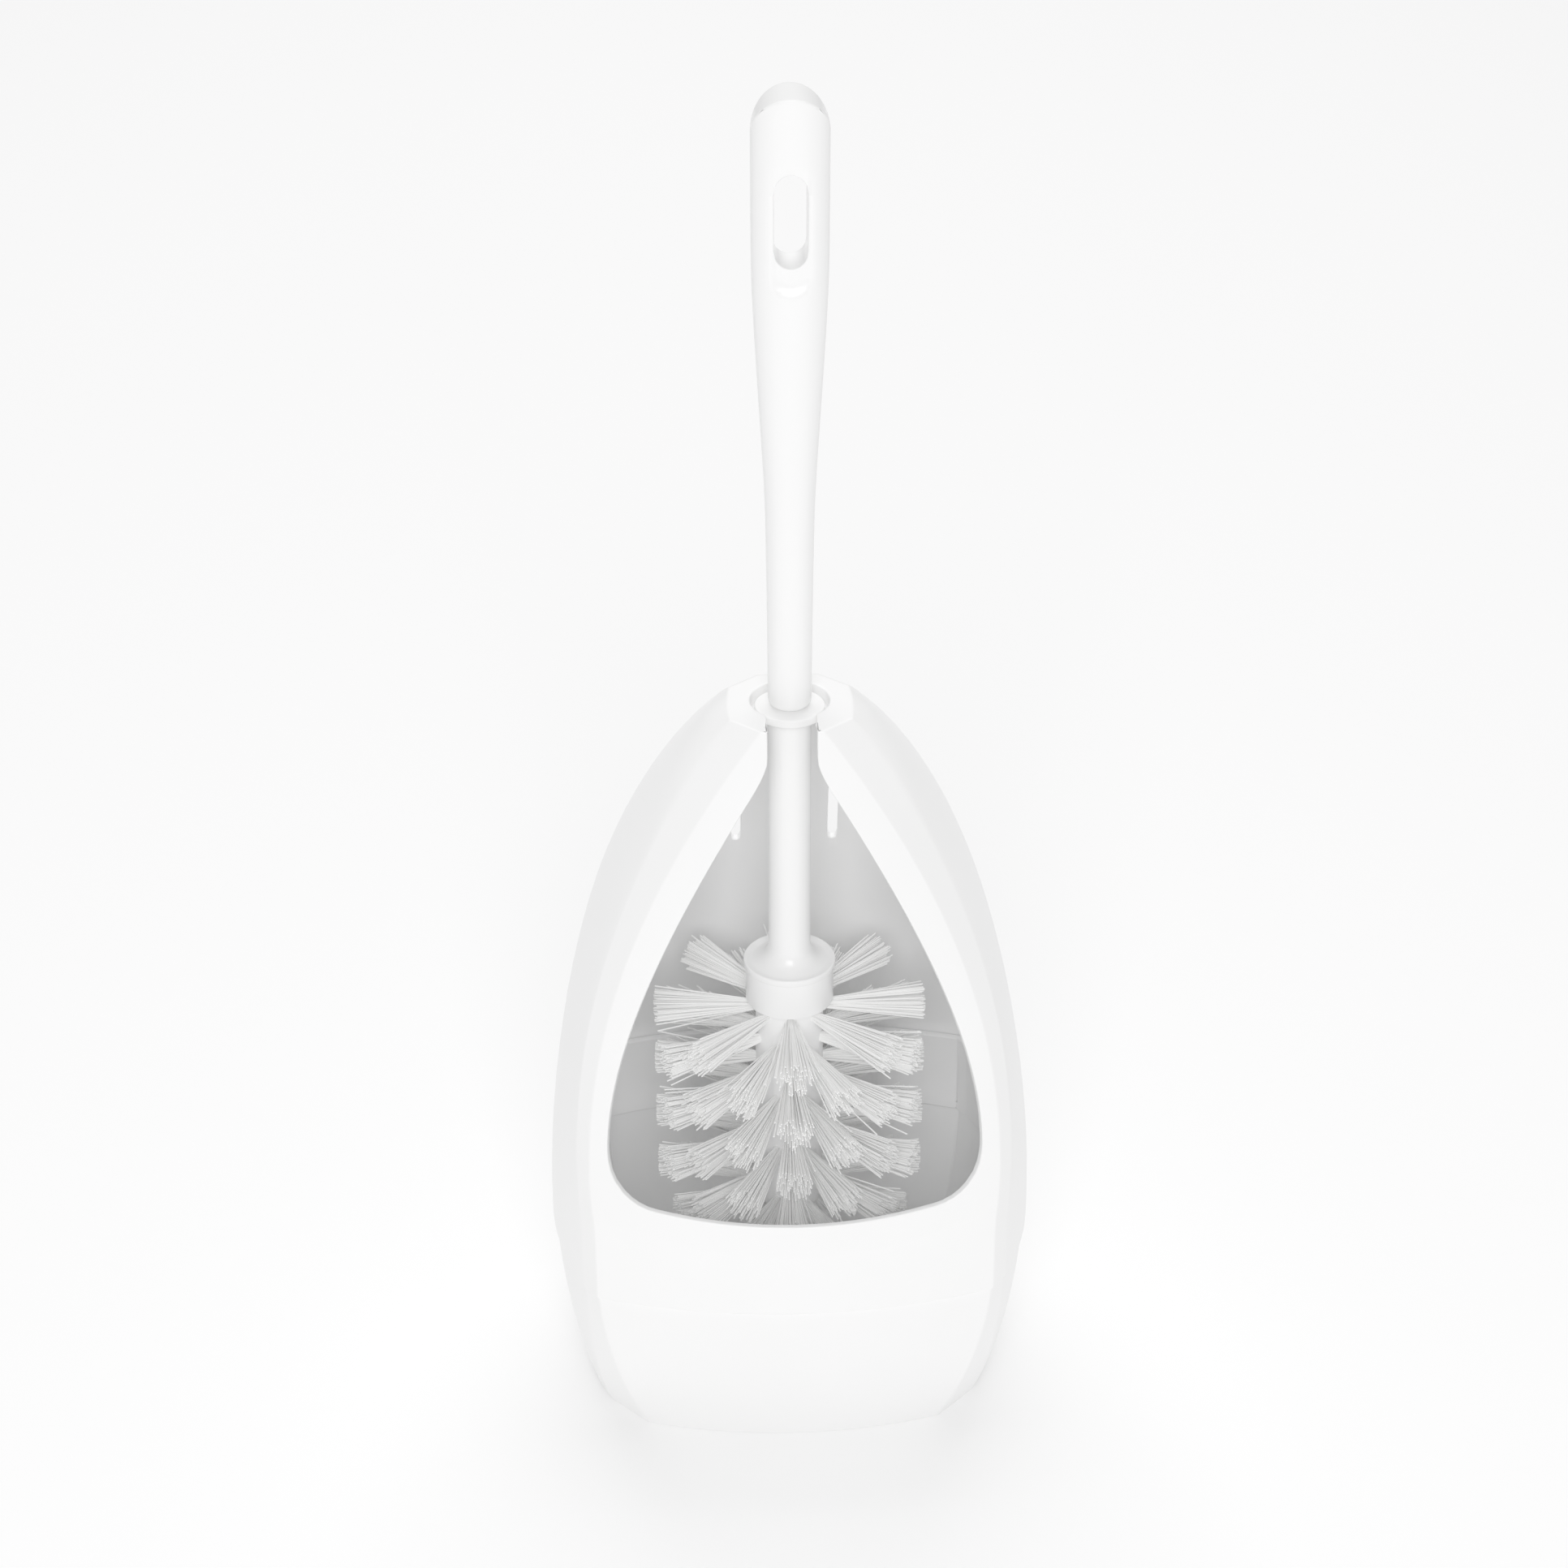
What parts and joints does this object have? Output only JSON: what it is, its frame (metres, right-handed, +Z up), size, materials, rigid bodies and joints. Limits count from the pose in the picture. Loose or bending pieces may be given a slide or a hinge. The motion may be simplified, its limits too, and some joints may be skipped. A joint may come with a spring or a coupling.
{
  "type": "toilet brush holder with brush",
  "caption": "Faceted egg-shaped open-front holder on a drip tray, with a long-handled brush hanging by its collar from the top.",
  "frame": {"origin": "on the floor, on the axis of the brush as it hangs in the holder", "axes": "+Z up along the brush, -Y out of the open front, +X to the right seen from the front"},
  "size_m": [0.1448, 0.1163, 0.406],
  "materials": {
    "shell_plastic": "glossy",
    "tray_plastic": "glossy",
    "handle_plastic": "glossy",
    "collar_plastic": "glossy",
    "stem_plastic": "glossy",
    "head_plastic": "glossy",
    "bristle_fibre": "satin fibre",
    "anchor_metal": "drawn"
  },
  "bodies": {
    "tray": {"drip_tray": "tray_plastic"},
    "shell": {"holder_shell": "shell_plastic"},
    "handle": {"handle_grip": "handle_plastic", "closing_collar": "collar_plastic", "brush_stem": "stem_plastic"},
    "head": {"brush_core": "head_plastic", "bristle_row_1": "bristle_fibre", "bristle_row_2": "bristle_fibre", "bristle_row_3": "bristle_fibre", "bristle_row_4": "bristle_fibre", "bristle_row_5": "bristle_fibre", "bristle_row_6": "bristle_fibre", "bristle_row_7": "bristle_fibre", "bristle_row_8": "bristle_fibre", "bristle_end_tufts": "bristle_fibre", "tuft_anchors_row_1": "anchor_metal", "tuft_anchors_row_2": "anchor_metal", "tuft_anchors_row_3": "anchor_metal", "tuft_anchors_row_4": "anchor_metal", "tuft_anchors_row_5": "anchor_metal", "tuft_anchors_row_6": "anchor_metal", "tuft_anchors_row_7": "anchor_metal", "tuft_anchors_row_8": "anchor_metal", "tuft_anchors_end": "anchor_metal"}
  },
  "joints": [
    {"name": "shell_lift", "type": "slide", "parent": "tray", "child": "shell", "axis": [0, 0, 1], "range_m": [0, 0.035]},
    {"name": "brush_lift", "type": "slide", "parent": "shell", "child": "handle", "axis": [0, 0, 1], "range_m": [0, 0.025]},
    {"name": "head_unscrew", "type": "hinge", "parent": "handle", "child": "head", "pos_m": [0, 0, 0.144], "axis": [0, 0, 1], "range_deg": [0, 1080]}
  ]
}
